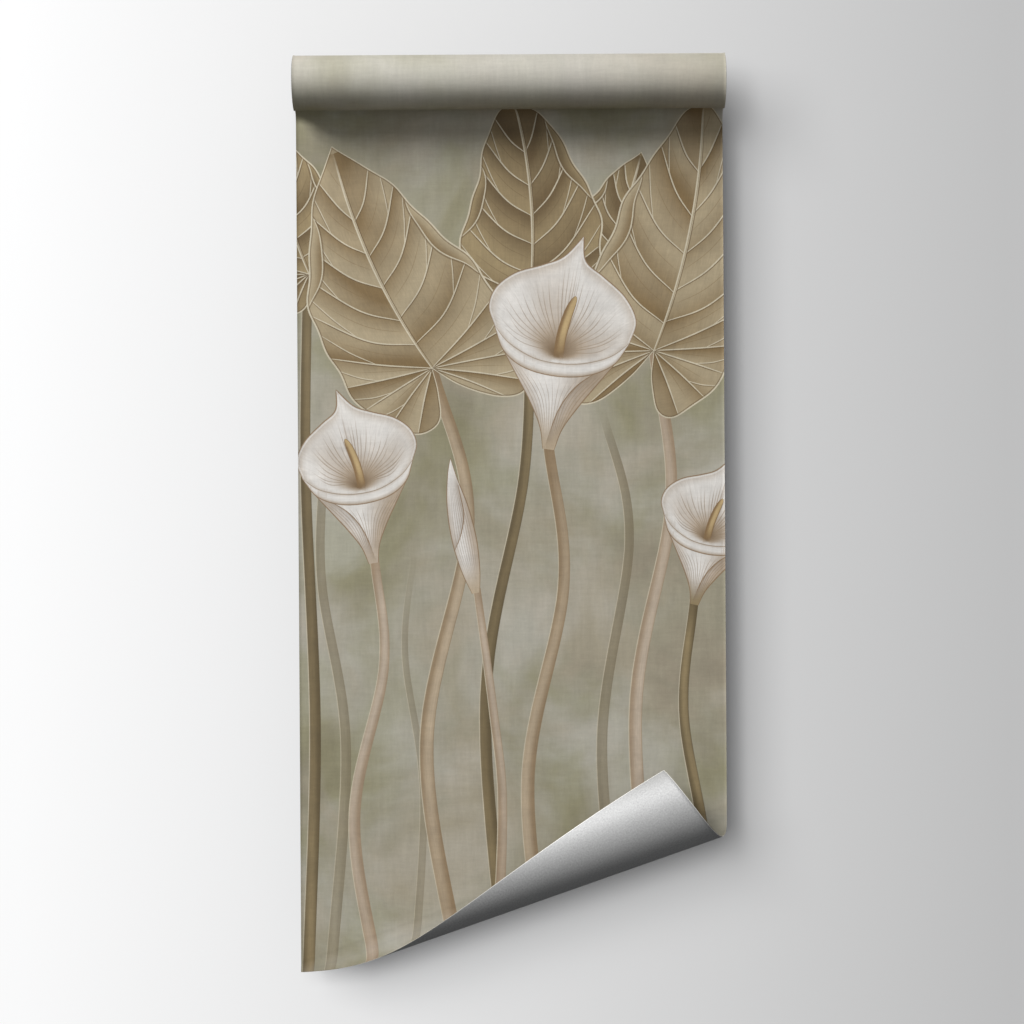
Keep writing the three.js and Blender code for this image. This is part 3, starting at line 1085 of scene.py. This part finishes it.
def bake_strips(x, share, on_back, slot):
    """The printed side, the back and both cut edges side by side, each as long as the map."""
    right = x > 0
    edge = 0.93 + 0.03 * right + 0.015 * on_back
    across = np.select([slot == 0, slot == 1], [0.01 + 0.44 * right, 0.47 + 0.44 * right], edge)
    return np.stack([across, 0.01 + 0.97 * share + 0.002 * on_back * (slot == 2)], axis=-1)


TURN_GAP = 0.004  # of a turn, between the printed piece's end and the turns below it


def wound_turns():
    """The turns below the one that shows, wound not quite evenly, so the roll's ends are ridged."""
    steps = int((turns_of_length(WOUND_LENGTH) - OUTER_TURNS) * TURN_STEPS)
    turns = OUTER_TURNS + TURN_GAP + np.arange(steps) / TURN_STEPS
    length = length_of_turns(turns)
    middle, normal = web_surface(0 * turns, REVERSE_Z + REVERSE_LENGTH + length)
    across = np.array([1, 0, 0])
    corners = []  # at each step: left front, left back, right front, right back
    for side in (-HALF_WIDTH, HALF_WIDTH):
        end = middle + across * (side + wander(turns))[:, None]
        corners += [end + normal * PAPER / 2, end - normal * PAPER / 2]
    points = np.stack(corners, axis=1).reshape(-1, 3)

    # The front, the back and both cut edges between one step's corners and the next step's.
    panel = np.array([(0, 2, 6, 4), (1, 5, 7, 3), (0, 4, 5, 1), (2, 3, 7, 6)])
    panels = (panel + 4 * np.arange(steps - 1)[:, None, None]).reshape(-1, 4)
    last = 4 * (steps - 1)
    index = np.array([(0, 1, 3, 2), *panels, (last, last + 2, last + 3, last + 1)])
    slots = np.array([2, *[0, 1, 2, 2] * (steps - 1), 2])

    faces, index, slot = index.tolist(), index.ravel(), np.repeat(slots, 4)
    step, x = index // 4, np.where(index % 4 < 2, -HALF_WIDTH, HALF_WIDTH)
    flat = np.stack([x, WEB_TOP + length[step]], axis=-1)
    bake = bake_strips(x, length[step] / length[-1], index % 2, slot)
    mesh = new_mesh("wound_turns", points, faces, flat, bake, slots, slots < 2)
    corner_normals = normal[step] * np.array([1, -1, 0])[slot, None]
    corner_normals += across * (np.sign(x) * (slot == 2))[:, None]
    mesh.normals_split_custom_set(corner_normals.tolist())
    return mesh


CORE_SIDES = 96
# The rim of the core, from the bore outwards: distance from the axis, and how far the end is cut
# back there. The plies are cut not quite level, and the corners are rounded.
CORE_RIM = [(0, 0.5), (0.12, 0.15), (0.3, 0.03), (0.46, 0), (0.5, 0.12), (0.54, 0.02), (0.95, 0.05),
            (1.0, 0.2), (1.05, 0.06), (1.3, 0.1), (1.42, 0.22), (1.5, 0.5)]
CORE_ROWS = 24


def core_tube():
    """The cardboard core: its long faces in rows, and both rims."""
    inner = CORE_RADIUS - CORE_WALL
    rim_end = HALF_WIDTH - CORE_RIM[0][1]
    rows = np.linspace(-rim_end, rim_end, CORE_ROWS + 1)[1:-1]
    ring = [(inner + out, -HALF_WIDTH + back) for out, back in CORE_RIM]
    ring += [(CORE_RADIUS, x) for x in rows]
    ring += [(inner + out, HALF_WIDTH - back) for out, back in reversed(CORE_RIM)]
    ring += [(inner, x) for x in rows[::-1]]
    radii, places = np.array(ring).T
    angles = np.arange(CORE_SIDES)[:, None] / CORE_SIDES * 2 * math.pi
    points = np.stack([places + 0 * angles, radii * np.sin(angles), radii * np.cos(angles)], axis=-1)

    count = len(ring)
    side, at = np.indices((CORE_SIDES, count)).reshape(2, -1, 1)
    side, at = side + (0, 0, 1, 1), at + (0, 1, 1, 0)  # of each face's corners
    faces = (side % CORE_SIDES * count + at % count).tolist()
    flat = np.stack([places[at % count], 2 * math.pi * CORE_RADIUS * side / CORE_SIDES], axis=-1)
    run = distances(np.array([*ring, ring[0]]))
    bake = np.stack([0.02 + 0.96 * run[at] / run[-1], 0.02 + 0.3 * side / CORE_SIDES], axis=-1)
    return new_mesh("core_tube_board", points.reshape(-1, 3), faces, flat, bake)


paper = [printed_look(), back_look(), edge_look()]
roll = [add_piece(printed_web(), paper, "wallpaper"),
        add_piece(wound_turns(), paper, "wallpaper"),
        add_piece(core_tube(), [core_look()], "core_tube")]

# ---- The studio: stage, lights and camera ----

WALL_GAP = 0.085  # from the sheet's back to the wall, in metres
WALL_Y = (SHEET_Y + PAPER / 2) * MM + WALL_GAP
WALL_FADE = 0.63  # how far each side of the middle the wall's painted shade changes, in metres
FLOOR_Z = -1.5
STAGE_REACH = 6.0


def add_stage_plane(name, near, far, material):
    """A part of the studio between two level edges, each given by its y and z. It neither darkens
    nor brightens what stands in the studio."""
    left, right = -STAGE_REACH, STAGE_REACH
    mesh = bpy.data.meshes.new(name)
    corners = [(left, *near), (right, *near), (right, *far), (left, *far)]
    mesh.from_pydata(corners, [], [(0, 1, 2, 3)])
    plane = add_object(mesh, [material])
    plane.visible_shadow = False
    plane.visible_diffuse = False
    plane.visible_glossy = False
    return plane


def wall_material():
    """A pale wall with painted shade: darker to the right, as if lit from the left. It only shows
    from the front.
    """
    look = Look("wall", 0.95, 0.1)
    x = look.out("X", "SeparateXYZ", {"Vector": look.out("Object", "TexCoord")})
    # Painted shade: the wall's colour darkens from left to right.
    share = look.between(x, -WALL_FADE, WALL_FADE, 0.0, 1.0)
    colour = look.ramp(share, [(0.0, (0.9, 0.9, 0.9)), (1.0, (0.51, 0.51, 0.51))])
    look.put(look.shader, {"Base Color": colour})
    shown = look.out("Shader", "MixShader", {
        0: look.out("Backfacing", "NewGeometry"),
        1: look.shader.outputs["BSDF"],
        2: look.out("BSDF", "BsdfTransparent"),
    })
    look.put(look.tree.nodes["Material Output"], {"Surface": shown})
    return look.material


def floor_material():
    look = Look("floor", 0.9, 0.1)
    look.put(look.shader, {"Base Color": (0.82, 0.82, 0.81, 1)})
    return look.material


wall = add_stage_plane("wall", (WALL_Y, FLOOR_Z), (WALL_Y, STAGE_REACH), wall_material())
floor_edges = [(-STAGE_REACH, FLOOR_Z), (STAGE_REACH, FLOOR_Z)]
floor = add_stage_plane("floor", *floor_edges, floor_material())

OBJECT_MIDDLE = Vector((0, 0, -0.53))


def add_area_light(name, direction, distance, size, power, lit):
    """A square soft light that shines from a direction on some of the things in the scene."""
    data = bpy.data.lights.new(name, "AREA")
    data.size = size
    data.energy = power
    light = add_object(data)
    towards = Vector(direction).normalized()
    light.location = OBJECT_MIDDLE + towards * distance
    light.rotation_mode = "QUATERNION"
    light.rotation_quaternion = towards.to_track_quat("Z", "Y")
    receivers = bpy.data.collections.new(name)
    for thing in lit:
        receivers.objects.link(thing)
    light.light_linking.receiver_collection = receivers
    return light


add_area_light("key", (-1.3, -1, 1.34), 10, 5, 1570, roll)
add_area_light("fill", (-0.2, -1, 0.05), 8, 6, 90, roll)
rear = add_area_light("rear", (0.45, 0.8, 0.35), 5, 2.5, 380, roll)
rear.data.cycles.max_bounces = 0  # so that the paper's back doesn't throw its light on the wall
add_area_light("stage_front", (-0.15, -1, 0.12), 12, 5, 800, [wall, floor])
add_area_light("stage_side", (-0.55, -1, 0.35), 12, 7, 780, [wall, floor])
add_area_light("stage_top", (0, -0.1, 1), 5, 8, 190, [floor])

FILL_LEVEL = 0.14
BACKDROP_LEVEL = 0.8  # how bright the empty studio looks
world = bpy.data.worlds.new("studio")
bpy.context.scene.world = world
world.use_nodes = True
studio = Nodes(world.node_tree)
seen = studio.out("Is Camera Ray", "LightPath")
strength = studio.between(seen, 0.0, 1.0, FILL_LEVEL, BACKDROP_LEVEL)
studio.put(studio.tree.nodes["Background"], {"Color": (0.97, 0.98, 1.0, 1), "Strength": strength})

bpy.context.scene.view_settings.view_transform = "Standard"

# The camera is where the photograph's was: square to the sheet, 3.45 m away.
CAMERA_DISTANCE = 3.45
CAMERA_X = 0.0004
CAMERA_Z = -0.5295
CAMERA_ROLL = math.radians(0.365)
SHEET_WIDTH_PIXELS = 426.5
IMAGE_PIXELS = 1024
SENSOR = 36
camera_data = bpy.data.cameras.new("camera")
camera_data.sensor_width = SENSOR
pixels_per_metre = SHEET_WIDTH_PIXELS / (2 * HALF_WIDTH * MM)
camera_data.lens = CAMERA_DISTANCE * pixels_per_metre / IMAGE_PIXELS * SENSOR
camera = add_object(camera_data)
camera.location = (CAMERA_X, SHEET_Y * MM - CAMERA_DISTANCE, CAMERA_Z)
camera.rotation_euler = (math.pi / 2, CAMERA_ROLL, 0)
bpy.context.scene.camera = camera
